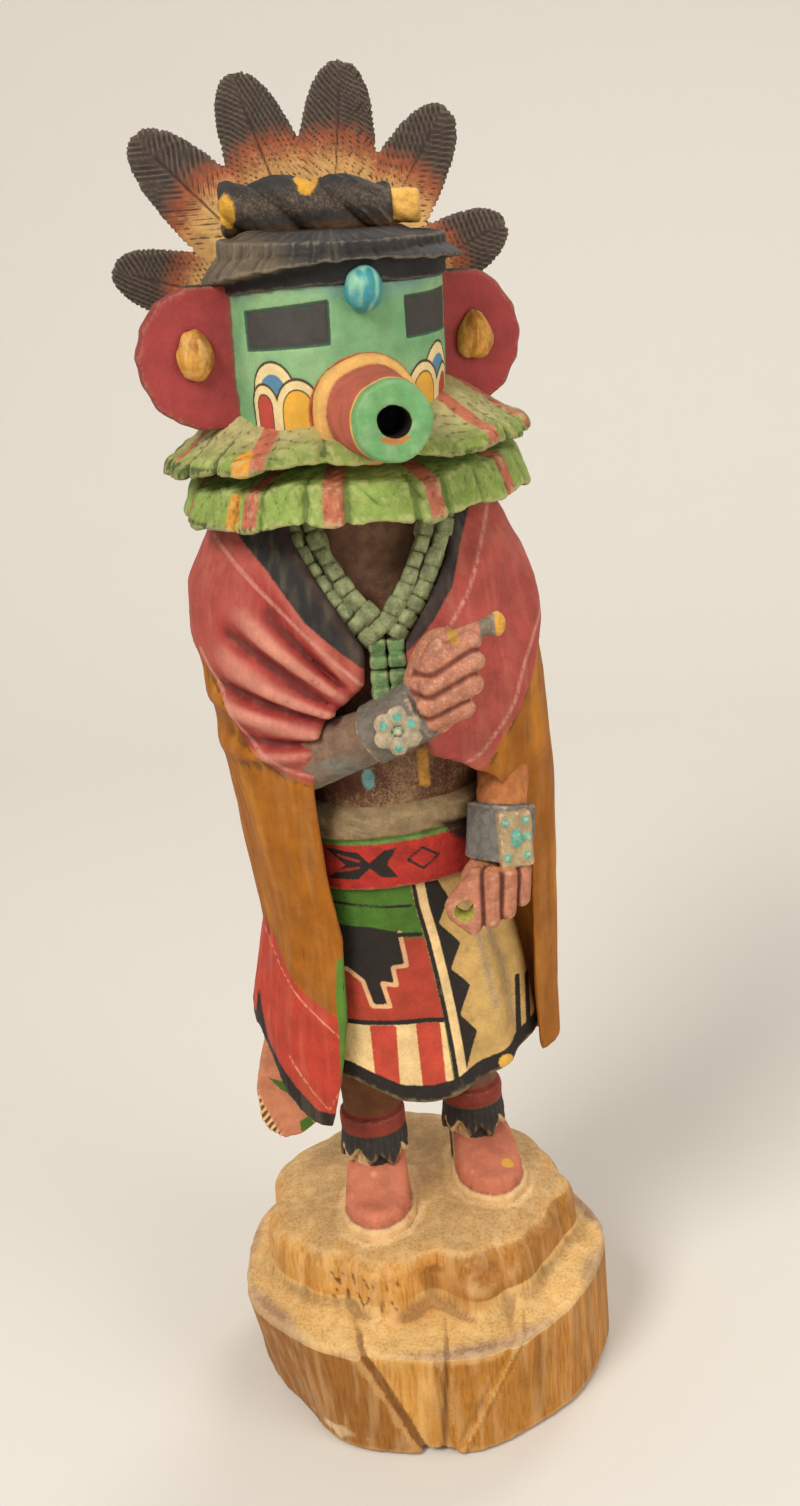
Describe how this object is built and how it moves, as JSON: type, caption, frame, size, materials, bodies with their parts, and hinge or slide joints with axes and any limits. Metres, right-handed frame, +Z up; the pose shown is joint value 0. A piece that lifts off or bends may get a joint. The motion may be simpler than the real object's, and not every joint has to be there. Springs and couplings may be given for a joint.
{
  "type": "carved kachina doll",
  "caption": "Painted wooden kachina doll in a draped cape and kilt, with a tube-snouted mask, leafy ruff and feather fan, standing on a rough log base",
  "frame": {"origin": "middle of the underside of the base, on the surface that the doll stands on", "axes": "+Z up, the figure faces -Y, +X to the viewer's right"},
  "size_m": [0.12, 0.1195, 0.3888],
  "materials": {
    "carving": "cottonwood root, hand painted in matt colours, raw and oiled on the base and lower cape",
    "roll": "carved wood, stained black-brown, raw at the cut end",
    "snout": "turned wood, painted green at the face, red on the tube and ochre on the collar",
    "bead": "smooth turquoise-blue bead of painted wood with a soft shine",
    "knob": "carved wood, ochre wash",
    "feathers": "carved wood, burned black at the tips, orange-red and tan at the roots"
  },
  "bodies": {
    "root": {"carved_figure": "carving", "twist_roll": "roll", "snout": "snout", "forehead_bead": "bead", "ear_knob_left": "knob", "ear_knob_right": "knob", "feather_fan": "feathers"}
  },
  "joints": []
}
